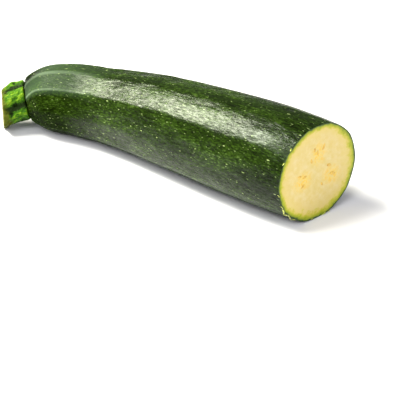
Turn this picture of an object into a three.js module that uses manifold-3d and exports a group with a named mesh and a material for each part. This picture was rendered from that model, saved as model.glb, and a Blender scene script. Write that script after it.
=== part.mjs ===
// A courgette with its blossom end sliced off, lying on a table: the fruit, with its cut face, and its stem.
// Millimetres, +Z up. The origin is on the table, in the flat that the fruit rests on, under its straight stretch.
// +X runs along that stretch and out through the cut face. Near the stem the neck bends towards -Y.
import * as THREE from "three";
import { mergeVertices, toCreasedNormals } from "three/addons/utils/BufferGeometryUtils.js";
import Module from "manifold-3d";

const wasm = await Module();
wasm.setup();

// Driving dimensions.
const CUT_RADIUS = 24; // of the fruit, at the cut face
const FRUIT_LENGTH = 174.2; // along the centreline, from the cut face to the stem
const STEM_LENGTH = 13.4;
const STEM_RADIUS = 11.2; // over the stem's ridges, where it meets the fruit
const JOINT_GAP = 0.3; // between the fruit's neck and the stem's base
const SKIN_THICKNESS = 0.9; // the dark and yellow-green layers seen around the cut face

// The centreline, seen from above, turns a little towards the cut end and much more towards the neck.
const STRAIGHT_AT = 0.452; // share of the length, from the cut face
const CUT_END_TURN = THREE.MathUtils.degToRad(5);
const NECK_TURN = THREE.MathUtils.degToRad(37);
const HOOK_TURN = THREE.MathUtils.degToRad(7.5); // further, where the neck draws in to the stem
const HOOK_REACH = 13; // length of that stretch
const STEM_TURN = THREE.MathUtils.degToRad(5.2); // further, over the stem
const NECK_FROM = 0.8; // where the neck leaves the table and starts to droop
const NECK_DROOP = 2.45; // of the centreline, by the time that it reaches the stem
const STEM_DROOP = 4.15; // further, over the stem
const STEM_END_LEAN = THREE.MathUtils.degToRad(-2); // of the cut end, the other way: its foot reaches out

// The knife went across at a slant.
const CUT_SKEW = THREE.MathUtils.degToRad(11.4); // of the cut face's normal, from +X towards -Y
const CUT_RISE = THREE.MathUtils.degToRad(3); // of the same normal, upwards
const SKEW_REACH = 0.35; // share of the length over which the sections turn into the slant

// Ribs run the whole length, sharp at the neck and nearly gone at the cut.
const RIB_COUNT = 10;
const FIRST_RIB = THREE.MathUtils.degToRad(3); // above the horizontal, on the -Y side
const NECK_FACETING = 0.85; // 0 is a round section and 1 is flat facets with sharp ribs between them
const CUT_FACETING = 0.3;
const FLAT_DEPTH = 0.4; // how much of the underside the resting flat takes off

// Seeds stand a little out of the cut face, in three groups round its middle.
const SEED_GROUPS = 3;
const SEEDS_A_GROUP = 6;
const SEED_LENGTH = 3.2;
const SEED_WIDTH = 1.3;
const SEED_PROUD = 0.3;
const SEED_DRAW = 7; // starts the draw of where each seed strays to
const GROUP_RADIUS = 9.6; // from the middle of the cut face to the middle of a group
const GROUP_WIDTH = 5.2; // across, between the two rows of a group
const FIRST_GROUP = THREE.MathUtils.degToRad(80); // up from the horizontal, on the +Y side

const ROUND_STEPS = 80; // a multiple of RIB_COUNT, so that each rib has its own row of points
const LENGTH_STEPS = 44;
const FACE_STEPS = 5;

const SKIN = new THREE.MeshStandardMaterial({ name: "skin", color: 0x2f4a1c, roughness: 0.38 });
const RIND = new THREE.MeshStandardMaterial({ name: "rind", color: 0xa9b32f, roughness: 0.45 });
const FLESH = new THREE.MeshStandardMaterial({ name: "flesh", color: 0xefdb9c, roughness: 0.5 });
const STEM = new THREE.MeshStandardMaterial({ name: "stem", color: 0x6f9a2e, roughness: 0.6 });

// The fruit's radius against the distance from its stem, as shares of the cut radius and of the length.
const outline = new THREE.SplineCurve(
  [
    [0, 0.464],
    [0.024, 0.588],
    [0.07, 0.727],
    [0.15, 0.8],
    [0.29, 0.85],
    [0.5, 0.965],
    [0.75, 1.045],
    [0.9, 1.06],
    [1, 1.03],
  ].map(([along, radius]) => new THREE.Vector2(along * FRUIT_LENGTH, radius * CUT_RADIUS)),
);

const outlinePoints = outline.getPoints(LENGTH_STEPS * 8);

/** The mean radius of the fruit at a distance from the stem. */
function meanRadius(fromStem) {
  const after = outlinePoints.findIndex((p) => p.x >= fromStem);
  if (after <= 0) return outlinePoints[Math.max(after, 0)].y;
  const [a, b] = [outlinePoints[after - 1], outlinePoints[after]];
  return THREE.MathUtils.mapLinear(fromStem, a.x, b.x, a.y, b.y);
}

/** The radius as a share of that over the ribs: 1 at a rib, less between ribs. */
function ribShape(angle, faceting) {
  const pitch = (2 * Math.PI) / RIB_COUNT;
  const fromMiddle = THREE.MathUtils.euclideanModulo(angle - FIRST_RIB, pitch) - pitch / 2;
  const polygon = Math.cos(pitch / 2) / Math.cos(fromMiddle);
  return 1 - faceting * (1 - polygon);
}

/** How sharply ribbed the fruit is at a distance from the stem. */
function faceting(fromStem) {
  const share = THREE.MathUtils.smoothstep(fromStem / FRUIT_LENGTH, 0.05, 1);
  return THREE.MathUtils.lerp(NECK_FACETING, CUT_FACETING, share);
}

/** The fruit's radius at an angle round the section, 0 on the -Y side and rising. */
function fruitRadius(fromStem, angle) {
  return meanRadius(fromStem) * ribShape(angle, faceting(fromStem));
}

/** The centreline's turn from the line of the straight stretch, in radians. */
function turnAt(fromStem) {
  if (fromStem < 0) return NECK_TURN + HOOK_TURN - (STEM_TURN * fromStem) / STEM_LENGTH;
  const fromCut = 1 - fromStem / FRUIT_LENGTH;
  if (fromCut < STRAIGHT_AT) return CUT_END_TURN * (1 - fromCut / STRAIGHT_AT) ** 2;
  const bend = NECK_TURN * ((fromCut - STRAIGHT_AT) / (1 - STRAIGHT_AT)) ** 2;
  return bend + HOOK_TURN * Math.max(1 - fromStem / HOOK_REACH, 0) ** 2;
}

/** The lowest that a whole section reaches below the centreline. */
function reachBelow(fromStem) {
  const step = (2 * Math.PI) / ROUND_STEPS;
  const angles = Array.from({ length: ROUND_STEPS }, (_, i) => FIRST_RIB + step * i);
  return Math.max(...angles.map((angle) => -Math.sin(angle) * fruitRadius(fromStem, angle)));
}

/** The centreline's height above the table. */
function heightAt(fromStem) {
  const neckEnd = (1 - NECK_FROM) * FRUIT_LENGTH;
  if (fromStem >= neckEnd) return reachBelow(fromStem) - FLAT_DEPTH;
  const leaving = reachBelow(neckEnd) - FLAT_DEPTH;
  if (fromStem >= 0) return leaving - NECK_DROOP * (1 - fromStem / neckEnd) ** 2;
  return leaving - NECK_DROOP - (STEM_DROOP * -fromStem) / STEM_LENGTH;
}

/** The centreline as a curve, from the stem's end (t = 0) to the middle of the cut face (t = 1). */
class Centreline extends THREE.Curve {
  constructor(steps = 400) {
    super();
    this.total = FRUIT_LENGTH + STEM_LENGTH;
    this.points = [];
    const step = this.total / steps;
    let [x, y] = [0, 0];
    for (let i = 0; i <= steps; i++) {
      const fromStem = i * step - STEM_LENGTH;
      this.points.push(new THREE.Vector3(x, y, heightAt(fromStem)));
      const turn = turnAt(fromStem + step / 2);
      x += step * Math.cos(turn);
      y += step * Math.sin(turn);
    }
    const origin = this.pointAt(FRUIT_LENGTH * (1 - STRAIGHT_AT));
    for (const p of this.points) p.set(p.x - origin.x, p.y - origin.y, p.z);
  }

  pointAt(fromStem) {
    return this.getPoint((fromStem + STEM_LENGTH) / this.total);
  }

  getPoint(t, target = new THREE.Vector3()) {
    const place = THREE.MathUtils.clamp(t, 0, 1) * (this.points.length - 1);
    const before = Math.min(Math.floor(place), this.points.length - 2);
    return target.lerpVectors(this.points[before], this.points[before + 1], place - before);
  }
}

const centreline = new Centreline();

/** How far a section leans back towards the stem, in radians: upright on the table, square to the neck. */
function leanAt(fromStem) {
  const neckEnd = (1 - NECK_FROM) * FRUIT_LENGTH;
  const neckLean = Math.atan((2 * NECK_DROOP) / neckEnd);
  if (fromStem < 0) return THREE.MathUtils.lerp(neckLean, STEM_END_LEAN, -fromStem / STEM_LENGTH);
  return neckLean * Math.max(1 - fromStem / neckEnd, 0);
}

/** A point at a radius and an angle round the centreline. */
function place(fromStem, radius, angle) {
  const turn = turnAt(fromStem);
  const lean = leanAt(fromStem);
  const across = new THREE.Vector3(Math.sin(turn), -Math.cos(turn), 0);
  const back = Math.sin(lean);
  const up = new THREE.Vector3(-Math.cos(turn) * back, -Math.sin(turn) * back, Math.cos(lean));
  return centreline
    .pointAt(fromStem)
    .addScaledVector(across, radius * Math.cos(angle))
    .addScaledVector(up, radius * Math.sin(angle));
}

/** Moves every point of a lathed geometry by a rule that gets its height, radius and angle. */
function reshape(geometry, rule) {
  const position = geometry.getAttribute("position");
  for (let i = 0; i < position.count; i++) {
    const [x, height, z] = [position.getX(i), position.getY(i), position.getZ(i)];
    const moved = rule(height, Math.hypot(x, z), Math.atan2(x, z));
    position.setXYZ(i, moved.x, moved.y, moved.z);
  }
  return geometry;
}

/** The plane of the knife's cut. */
function cutPlane() {
  const normal = new THREE.Vector3(
    Math.cos(CUT_SKEW) * Math.cos(CUT_RISE),
    -Math.sin(CUT_SKEW) * Math.cos(CUT_RISE),
    Math.sin(CUT_RISE),
  );
  return new THREE.Plane().setFromNormalAndCoplanarPoint(normal, centreline.pointAt(FRUIT_LENGTH));
}

const knife = cutPlane();

/** The fruit: a lathed outline, ribbed, bent along the centreline, slanted at the cut and flat underneath. */
function fruitGeometry() {
  const skin = Array.from({ length: LENGTH_STEPS + 1 }, (_, i) => {
    const fromStem = FRUIT_LENGTH * (i / LENGTH_STEPS) ** 1.25;
    return new THREE.Vector2(meanRadius(fromStem), fromStem);
  });
  const inner = CUT_RADIUS - SKIN_THICKNESS;
  const face = Array.from({ length: FACE_STEPS }, (_, i) => {
    return new THREE.Vector2(inner * (1 - i / FACE_STEPS), FRUIT_LENGTH);
  });
  const neck = new THREE.Vector2(0, 0);
  const middle = new THREE.Vector2(0, FRUIT_LENGTH);
  const lathed = new THREE.LatheGeometry([neck, ...skin, ...face, middle], ROUND_STEPS, -FIRST_RIB);
  return reshape(lathed, (fromStem, radius, around) => {
    const angle = -around;
    const share = radius / meanRadius(fromStem);
    const point = place(fromStem, share * fruitRadius(fromStem, angle), angle);
    point.z = Math.max(point.z, 0);
    const slant = THREE.MathUtils.smoothstep(fromStem / FRUIT_LENGTH, 1 - SKEW_REACH, 1);
    const square = centreline.pointAt(fromStem);
    const offPlane = knife.normal.y * (point.y - square.y) + knife.normal.z * (point.z - square.z);
    const ownSkew = (point.y - square.y) * Math.tan(turnAt(fromStem));
    point.x -= slant * (offPlane / knife.normal.x - ownSkew);
    return point;
  });
}

/** A closed geometry as a solid that can be joined. */
function solidOf(geometry) {
  const bare = geometry.clone();
  bare.deleteAttribute("normal");
  bare.deleteAttribute("uv");
  const merged = mergeVertices(bare, 1e-3);
  return new wasm.Manifold(
    new wasm.Mesh({
      numProp: 3,
      vertProperties: new Float32Array(merged.getAttribute("position").array),
      triVerts: new Uint32Array(merged.index.array),
    }),
  );
}

/** A solid as a geometry, smooth but for its sharp edges. */
function geometryOf(solid) {
  const mesh = solid.getMesh();
  const geometry = new THREE.BufferGeometry();
  geometry.setAttribute("position", new THREE.BufferAttribute(new Float32Array(mesh.vertProperties), 3));
  geometry.setIndex(new THREE.BufferAttribute(new Uint32Array(mesh.triVerts), 1));
  return toCreasedNormals(geometry, THREE.MathUtils.degToRad(35));
}

/** One seed: a flat pip, half sunk in the cut face, its length along the given direction in the face. */
function seed(middle, along) {
  const pip = new THREE.SphereGeometry(0.5, 8, 6);
  const across = new THREE.Vector3().crossVectors(knife.normal, along);
  const frame = new THREE.Matrix4().makeBasis(
    along.clone().multiplyScalar(SEED_LENGTH),
    across.multiplyScalar(SEED_WIDTH),
    knife.normal.clone().multiplyScalar(2 * SEED_PROUD),
  );
  return pip.applyMatrix4(frame.setPosition(middle));
}

/** The seeds of all the groups: two rows to a group, fanning out from the middle of the cut face. */
function seeds() {
  const up = knife.projectPoint(knife.coplanarPoint(new THREE.Vector3()).setZ(1e3), new THREE.Vector3());
  const middle = centreline.pointAt(FRUIT_LENGTH);
  const vertical = up.sub(middle).normalize();
  const sideways = new THREE.Vector3().crossVectors(vertical, knife.normal).normalize();
  const toward = (angle) =>
    vertical.clone().multiplyScalar(Math.sin(angle)).addScaledVector(sideways, Math.cos(angle));
  THREE.MathUtils.seededRandom(SEED_DRAW);
  const drawn = (spread) => (THREE.MathUtils.seededRandom() - 0.5) * spread;
  const made = [];
  for (let group = 0; group < SEED_GROUPS; group++) {
    const centre = FIRST_GROUP + (2 * Math.PI * group) / SEED_GROUPS;
    for (let i = 0; i < SEEDS_A_GROUP; i++) {
      const row = i % 2 ? 1 : -1;
      const rank = Math.floor(i / 2) - 1;
      const radius = GROUP_RADIUS + rank * SEED_LENGTH * 0.9 + row * 0.6 + drawn(1.4);
      const angle = centre + (row * GROUP_WIDTH) / 2 / radius + drawn(0.12);
      made.push(seed(middle.clone().addScaledVector(toward(angle), radius), toward(centre + drawn(0.9))));
    }
  }
  return made;
}

/** Sorts triangles into groups, one to a material, by a rule on each triangle's middle and normal. */
function sortByMaterial(geometry, count, rule) {
  const position = geometry.getAttribute("position");
  const normal = geometry.getAttribute("normal");
  const lists = Array.from({ length: count }, () => []);
  const triangle = new THREE.Triangle();
  for (let i = 0; i < position.count; i += 3) {
    triangle.setFromAttributeAndIndices(position, i, i + 1, i + 2);
    const which = rule(triangle.getMidpoint(new THREE.Vector3()), triangle.getNormal(new THREE.Vector3()));
    lists[which].push(i, i + 1, i + 2);
  }
  const order = lists.flat();
  const sorted = new THREE.BufferGeometry();
  for (const [name, attribute] of [["position", position], ["normal", normal]]) {
    const values = order.flatMap((i) => [attribute.getX(i), attribute.getY(i), attribute.getZ(i)]);
    sorted.setAttribute(name, new THREE.Float32BufferAttribute(values, 3));
  }
  let start = 0;
  lists.forEach((list, which) => {
    sorted.addGroup(start, list.length, which);
    start += list.length;
  });
  return sorted;
}

/** The fruit, in one piece: skin outside, the rind's edge and the flesh with its seeds on the cut face. */
function makeFruit() {
  const joined = seeds().reduce((body, pip) => body.add(solidOf(pip)), solidOf(fruitGeometry()));
  const middle = centreline.pointAt(FRUIT_LENGTH);
  const geometry = sortByMaterial(geometryOf(joined), 3, (at, facing) => {
    const onCut = Math.abs(knife.distanceToPoint(at)) < 2 * SEED_PROUD && facing.dot(knife.normal) > 0.2;
    if (!onCut) return 0;
    return at.distanceTo(middle) > CUT_RADIUS - 1.2 * SKIN_THICKNESS ? 1 : 2;
  });
  const mesh = new THREE.Mesh(geometry, [SKIN, RIND, FLESH]);
  mesh.name = "fruit";
  return mesh;
}

// The stem: five broad ridges with narrow grooves between them, and a slight waist.
const STEM_RIDGES = 5;
const FIRST_RIDGE = THREE.MathUtils.degToRad(51); // above the horizontal, on the -Y side
const STEM_ROUND_STEPS = 60;
const GROOVE_DEPTH = 0.17; // share of the radius
const GROOVE_SHARPNESS = 2.5; // 1 is a wave, and more leaves broad ridges and narrow grooves
const STEM_WAIST = 0.96; // share of the radius at the base
const STEM_FLARE = 0.98;
const EDGE_ROUND = 0.6;

/** The stem's radius at an angle, as a share of that over the ridges. */
function ridgeShape(angle) {
  const wave = 0.5 - 0.5 * Math.cos(STEM_RIDGES * (angle - FIRST_RIDGE));
  return 1 - GROOVE_DEPTH * wave ** GROOVE_SHARPNESS;
}

function makeStem() {
  const side = new THREE.SplineCurve([
    new THREE.Vector2(STEM_RADIUS, JOINT_GAP + EDGE_ROUND),
    new THREE.Vector2(STEM_RADIUS * (STEM_WAIST + 0.03), STEM_LENGTH * 0.3),
    new THREE.Vector2(STEM_RADIUS * STEM_WAIST, STEM_LENGTH * 0.6),
    new THREE.Vector2(STEM_RADIUS * STEM_FLARE, STEM_LENGTH - EDGE_ROUND),
  ]);
  const profile = [
    new THREE.Vector2(0, JOINT_GAP),
    new THREE.Vector2(STEM_RADIUS - EDGE_ROUND, JOINT_GAP),
    ...side.getPoints(10),
    new THREE.Vector2(STEM_RADIUS * STEM_FLARE - EDGE_ROUND, STEM_LENGTH),
    new THREE.Vector2(STEM_RADIUS * 0.5, STEM_LENGTH - 0.5),
    new THREE.Vector2(0, STEM_LENGTH - 0.8),
  ];
  const lathed = new THREE.LatheGeometry(profile, STEM_ROUND_STEPS, FIRST_RIB);
  const shaped = reshape(lathed, (outward, radius, angle) => place(-outward, radius * ridgeShape(angle), angle));
  const mesh = new THREE.Mesh(geometryOf(solidOf(shaped)), STEM);
  mesh.name = "stem";
  return mesh;
}

const courgette = new THREE.Group();
courgette.name = "courgette";
courgette.add(makeFruit(), makeStem());

export default courgette;
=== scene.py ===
"""Looks of a courgette with its blossom end sliced off, lying on a pale table.

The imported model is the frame. Two pieces stand for its nodes: the fruit, with its skin and its cut face, and
the stem. The seeds and the shreds of peel round the cut are pieces of their own. The scene is in metres, +Z
up, with the table at zero. Sizes in the classes are in millimetres, except in the studio.
"""

import logging
import math
import random
from dataclasses import dataclass, field
from enum import Enum
from typing import Any, Callable, Optional, Sequence

import bmesh
import bpy
import numpy as np
from mathutils import Matrix, Vector, noise

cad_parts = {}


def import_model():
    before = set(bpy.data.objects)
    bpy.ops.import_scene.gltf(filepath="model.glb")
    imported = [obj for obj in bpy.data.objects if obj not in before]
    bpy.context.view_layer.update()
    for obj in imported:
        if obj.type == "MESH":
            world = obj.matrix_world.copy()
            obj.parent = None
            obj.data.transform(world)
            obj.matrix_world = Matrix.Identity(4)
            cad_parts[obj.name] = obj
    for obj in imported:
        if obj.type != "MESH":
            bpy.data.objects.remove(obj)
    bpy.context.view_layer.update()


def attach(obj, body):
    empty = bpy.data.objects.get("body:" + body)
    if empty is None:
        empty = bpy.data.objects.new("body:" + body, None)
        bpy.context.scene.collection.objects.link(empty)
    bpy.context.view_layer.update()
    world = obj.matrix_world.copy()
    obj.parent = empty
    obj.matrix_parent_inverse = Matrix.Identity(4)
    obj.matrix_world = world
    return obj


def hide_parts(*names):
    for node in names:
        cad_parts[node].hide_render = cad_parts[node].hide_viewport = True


LOG = logging.getLogger("courgette")
MM = 0.001
BODY = "root"
# Two places nearer than this, in millimetres, count as one.
SAME_PLACE = 1e-3

Colour = tuple[float, float, float, float]
Span = tuple[float, float]


class Refine(Enum):
    """Subdivision levels of the cages, chosen so that each piece stays under 200,000 triangles."""

    LARGE = 2
    SMALL = 1


class Slot(Enum):
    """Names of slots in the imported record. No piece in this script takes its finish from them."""

    SKIN = "skin"
    STEM = "stem"


def from_hex(code: str) -> Colour:
    """Turns an sRGB hex colour into the linear values that shaders take.

    Args:
        code: Six hex digits, such as "2f4a1c".

    Returns:
        Linear red, green and blue, with an alpha of one.
    """
    channels = [int(code[i : i + 2], 16) / 255 for i in (0, 2, 4)]
    linear = [c / 12.92 if c <= 0.04045 else ((c + 0.055) / 1.055) ** 2.4 for c in channels]
    return (linear[0], linear[1], linear[2], 1.0)


def polar(points: np.ndarray) -> tuple[np.ndarray, np.ndarray]:
    """Distances from the X axis, and angles round it from the -Y side upwards.

    Args:
        points: Points of a straight form, one row each.

    Returns:
        One distance and one angle a point.
    """
    return np.hypot(points[:, 1], points[:, 2]), np.arctan2(points[:, 2], -points[:, 1])


def rise(values: np.ndarray, start: float, end: float) -> np.ndarray:
    """Rises from 0 at one value to 1 at the other, and is level outside them."""
    return np.clip((values - start) / (end - start), 0, 1)


def bell(x: np.ndarray) -> np.ndarray:
    """A smooth bump that is 1 at zero and nearly nothing past 2."""
    return np.exp(-x * x)


@dataclass(frozen=True)
class Growth:
    """The courgette's grown form, the same as in the solids: millimetres, radians and shares.

    A straight courgette lies along +X with its neck at zero and the cut face at fruit_length. The stem is on
    the negative side. place() rolls and bends that straight form into the real one.
    """

    fruit_length: float = 174.2
    stem_length: float = 13.4
    cut_radius: float = 24.0
    straight_at: float = 0.452
    cut_end_turn: float = math.radians(5)
    neck_turn: float = math.radians(37)
    hook_turn: float = math.radians(7.5)
    hook_reach: float = 13
    stem_turn: float = math.radians(5.2)
    neck_from: float = 0.8
    neck_droop: float = 2.45
    stem_droop: float = 4.15
    stem_end_lean: float = math.radians(-2)
    cut_skew: float = math.radians(11.4)
    cut_rise: float = math.radians(3)
    skew_reach: float = 0.35
    ribs: int = 10
    first_rib: float = math.radians(3)
    neck_faceting: float = 0.85
    cut_faceting: float = 0.3
    even_until: float = 0.05
    flat_depth: float = 0.4
    outline: tuple[Span, ...] = (
        (0.0, 0.464),
        (0.024, 0.588),
        (0.07, 0.727),
        (0.15, 0.8),
        (0.29, 0.85),
        (0.5, 0.965),
        (0.75, 1.045),
        (0.9, 1.06),
        (1.0, 1.03),
    )

    def radius(self, along: np.ndarray) -> np.ndarray:
        """Radius over the ribs.

        Args:
            along: Distances from the neck's end.

        Returns:
            The radius at each distance, from a smooth curve through the outline's points.
        """
        knots = np.array(self.outline) * (self.fruit_length, self.cut_radius)
        padded = np.vstack([knots[:1], knots, knots[-1:]])
        curve = []
        for i in range(len(knots) - 1):
            a, b, c, d = padded[i : i + 4]
            t = np.linspace(0, 1, 40, endpoint=i == len(knots) - 2)[:, None]
            start, end = (c - a) / 2, (d - b) / 2
            cubic, square = 2 * (b - c) + start + end, 3 * (c - b) - 2 * start - end
            curve.append(cubic * t**3 + square * t**2 + start * t + b)
        points = np.vstack(curve)
        return np.interp(along, points[:, 0], points[:, 1])

    def faceting(self, along: np.ndarray) -> np.ndarray:
        """How flat the facets between the ribs are, from 0 for round to 1 for flat.

        Args:
            along: Distances from the neck's end.

        Returns:
            One share a distance.
        """
        share = rise(along / self.fruit_length, self.even_until, 1)
        eased = share * share * (3 - 2 * share)
        return self.neck_faceting + (self.cut_faceting - self.neck_faceting) * eased

    def dip(self, angle: np.ndarray, faceting: np.ndarray) -> np.ndarray:
        """Share of the rib radius at an angle measured from a rib.

        Args:
            angle: Angles from a rib.
            faceting: How flat the facets are, from 0 to 1.

        Returns:
            One share an angle.
        """
        pitch = 2 * math.pi / self.ribs
        polygon = math.cos(pitch / 2) / np.cos(np.mod(angle, pitch) - pitch / 2)
        return 1 - faceting * (1 - polygon)

    def turn(self, along: np.ndarray) -> np.ndarray:
        """The centreline's turn from +X, seen from above.

        Args:
            along: Distances from the neck's end.

        Returns:
            One angle a distance.
        """
        from_cut = 1 - along / self.fruit_length
        cut_side = self.cut_end_turn * (1 - from_cut / self.straight_at) ** 2
        bend = self.neck_turn * ((from_cut - self.straight_at) / (1 - self.straight_at)) ** 2
        neck_side = bend + self.hook_turn * np.clip(1 - along / self.hook_reach, 0, None) ** 2
        over_stem = self.neck_turn + self.hook_turn - self.stem_turn * along / self.stem_length
        return np.where(along < 0, over_stem, np.where(from_cut < self.straight_at, cut_side, neck_side))

    def height(self, along: np.ndarray) -> np.ndarray:
        """The centreline's height over the table.

        Args:
            along: Distances from the neck's end.

        Returns:
            One height a distance.
        """
        angles = self.first_rib + np.arange(80) * math.pi / 40
        neck_end = (1 - self.neck_from) * self.fruit_length
        on_table = np.maximum(along, neck_end)
        dips = self.dip(angles[None, :] - self.first_rib, self.faceting(on_table)[:, None])
        reach = (-np.sin(angles)[None, :] * dips).max(axis=1) * self.radius(on_table)
        over_neck = self.neck_droop * (1 - np.clip(along, 0, neck_end) / neck_end) ** 2
        over_stem = self.stem_droop * np.clip(-along, 0, None) / self.stem_length
        return reach - self.flat_depth - over_neck - over_stem

    def lean(self, along: np.ndarray) -> np.ndarray:
        """How far a section leans back towards the stem.

        Args:
            along: Distances from the neck's end.

        Returns:
            One angle a distance.
        """
        neck_end = (1 - self.neck_from) * self.fruit_length
        neck_lean = math.atan(2 * self.neck_droop / neck_end)
        stem = np.clip(-along / self.stem_length, 0, 1)
        over_stem = neck_lean + (self.stem_end_lean - neck_lean) * stem
        return np.where(along < 0, over_stem, neck_lean * np.clip(1 - along / neck_end, 0, None))

    def centre(self, along: np.ndarray) -> np.ndarray:
        """Points of the centreline.

        Args:
            along: Distances from the neck's end.

        Returns:
            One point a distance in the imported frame, whose origin is under the straight stretch.
        """
        stations = np.linspace(-self.stem_length, self.fruit_length, 401)
        step = stations[1] - stations[0]
        turns = self.turn(stations[:-1] + step / 2)
        x = np.concatenate([[0], np.cumsum(step * np.cos(turns))])
        y = np.concatenate([[0], np.cumsum(step * np.sin(turns))])
        origin = self.fruit_length * (1 - self.straight_at)
        flat = [np.interp(along, stations, v) - np.interp(origin, stations, v) for v in (x, y)]
        return np.stack([*flat, np.interp(along, stations, self.height(stations))], axis=-1)

    def knife_normal(self) -> np.ndarray:
        """The outward normal of the cut face."""
        skew, rise = self.cut_skew, self.cut_rise
        return np.array(
            [math.cos(skew) * math.cos(rise), -math.sin(skew) * math.cos(rise), math.sin(rise)]
        )

    def place(self, straight: np.ndarray) -> np.ndarray:
        """Rolls and bends points of the straight courgette into the real one.

        Args:
            straight: Points of the straight form. Any that stand proud of the cut face stay proud of it.

        Returns:
            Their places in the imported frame.
        """
        along = np.minimum(straight[:, 0], self.fruit_length)
        proud = straight[:, 0] - along
        radius, unrolled = polar(straight)
        angle = unrolled + self.first_rib
        turn, lean, middle = self.turn(along), self.lean(along), self.centre(along)
        across = np.stack([np.sin(turn), -np.cos(turn), np.zeros_like(turn)], axis=-1)
        up = np.stack([-np.cos(turn) * np.sin(lean), -np.sin(turn) * np.sin(lean), np.cos(lean)], axis=-1)
        placed = middle + across * (radius * np.cos(angle))[:, None] + up * (radius * np.sin(angle))[:, None]
        placed[:, 2] = np.maximum(placed[:, 2], 0)
        share = rise(along / self.fruit_length, 1 - self.skew_reach, 1)
        slant = share * share * (3 - 2 * share)
        normal, offset = self.knife_normal(), placed - middle
        off_plane = (normal[1] * offset[:, 1] + normal[2] * offset[:, 2]) / normal[0]
        placed[:, 0] -= slant * (off_plane - offset[:, 1] * np.tan(turn))
        return placed + normal * proud[:, None]


def clear_selection() -> None:
    """Leaves edit mode and deselects everything, because an operator acts on all that is selected."""
    if bpy.context.object and bpy.context.object.mode != "OBJECT":
        bpy.ops.object.mode_set(mode="OBJECT")
    bpy.ops.object.select_all(action="DESELECT")


def make_active(piece: bpy.types.Object) -> None:
    """Selects one piece and nothing else.

    Args:
        piece: The piece, which becomes the active object.
    """
    clear_selection()
    piece.select_set(True)
    bpy.context.view_layer.objects.active = piece


def pick(rule: Callable[[Vector], bool]) -> None:
    """Selects vertices of the mesh in edit mode, and the edges and faces between them.

    Args:
        rule: Says of a vertex's place whether it is picked.
    """
    mesh = bpy.context.object.data
    shape = bmesh.from_edit_mesh(mesh)
    shape.select_mode = {"VERT"}
    for part in (shape.verts, shape.edges, shape.faces):
        for element in part:
            element.select = False
    for vertex in shape.verts:
        if rule(vertex.co):
            vertex.select = True
    shape.select_flush(True)
    bmesh.update_edit_mesh(mesh)


def subdivide(piece: bpy.types.Object, levels: Refine) -> None:
    """Smooths a cage by subdivision, with creases kept.

    Args:
        piece: The cage, which becomes the active object.
        levels: How far it is subdivided.
    """
    make_active(piece)
    modifier = piece.modifiers.new("Subdivision", "SUBSURF")
    modifier.levels = modifier.render_levels = levels.value
    bpy.ops.object.modifier_apply(modifier=modifier.name)


def read_points(piece: bpy.types.Object) -> np.ndarray:
    """A piece's vertices in millimetres, one row each.

    Args:
        piece: The piece.

    Returns:
        One point a vertex.
    """
    flat = np.empty(len(piece.data.vertices) * 3)
    piece.data.vertices.foreach_get("co", flat)
    return flat.reshape(-1, 3) / MM


def write_points(piece: bpy.types.Object, points: np.ndarray) -> None:
    """Moves a piece's vertices to points given in millimetres."""
    piece.data.vertices.foreach_set("co", (points * MM).ravel())
    piece.data.update()


def store(piece: bpy.types.Object, name: str, values: np.ndarray) -> None:
    """Keeps a number or a vector a vertex on the mesh, for its material to read.

    Args:
        piece: The piece whose mesh keeps it.
        name: The attribute's name.
        values: One number or three a vertex.
    """
    vector = values.ndim == 2
    kept = piece.data.attributes.new(name, "FLOAT_VECTOR" if vector else "FLOAT", "POINT")
    kept.data.foreach_set("vector" if vector else "value", values.astype(np.float32).ravel())


def ripple(points: np.ndarray, size: Sequence[float], seed: float) -> np.ndarray:
    """Smooth noise between -1 and 1.

    Args:
        points: Where it is read, in millimetres.
        size: The length of one wave along each axis, in millimetres.
        seed: Shifts the noise, so that two calls differ.

    Returns:
        One number a point.
    """
    scaled = points / np.array(size) + seed
    return np.array([noise.noise(Vector(p)) for p in scaled])


def scatter(pattern: bpy.types.Object, places: Sequence[Matrix], name: str) -> bpy.types.Object:
    """Copies a small piece to its places, each copy with its own mesh, and joins the copies.

    Args:
        pattern: The piece as modelled, which is removed.
        places: Where each copy goes.
        name: The joined piece's name.

    Returns:
        The joined piece, with its places kept in its mesh.
    """
    copies = []
    for place in places:
        make_active(pattern)
        bpy.ops.object.duplicate(linked=False)
        copy = bpy.context.object
        copy.matrix_world = place
        copies.append(copy)
    bpy.data.objects.remove(pattern)
    clear_selection()
    for copy in copies:
        copy.select_set(True)
    bpy.context.view_layer.objects.active = copies[0]
    bpy.ops.object.join()
    bpy.ops.object.transform_apply(location=True, rotation=True, scale=True)
    piece = bpy.context.object
    piece.name = piece.data.name = name
    bpy.ops.object.shade_smooth()
    return piece


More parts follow.
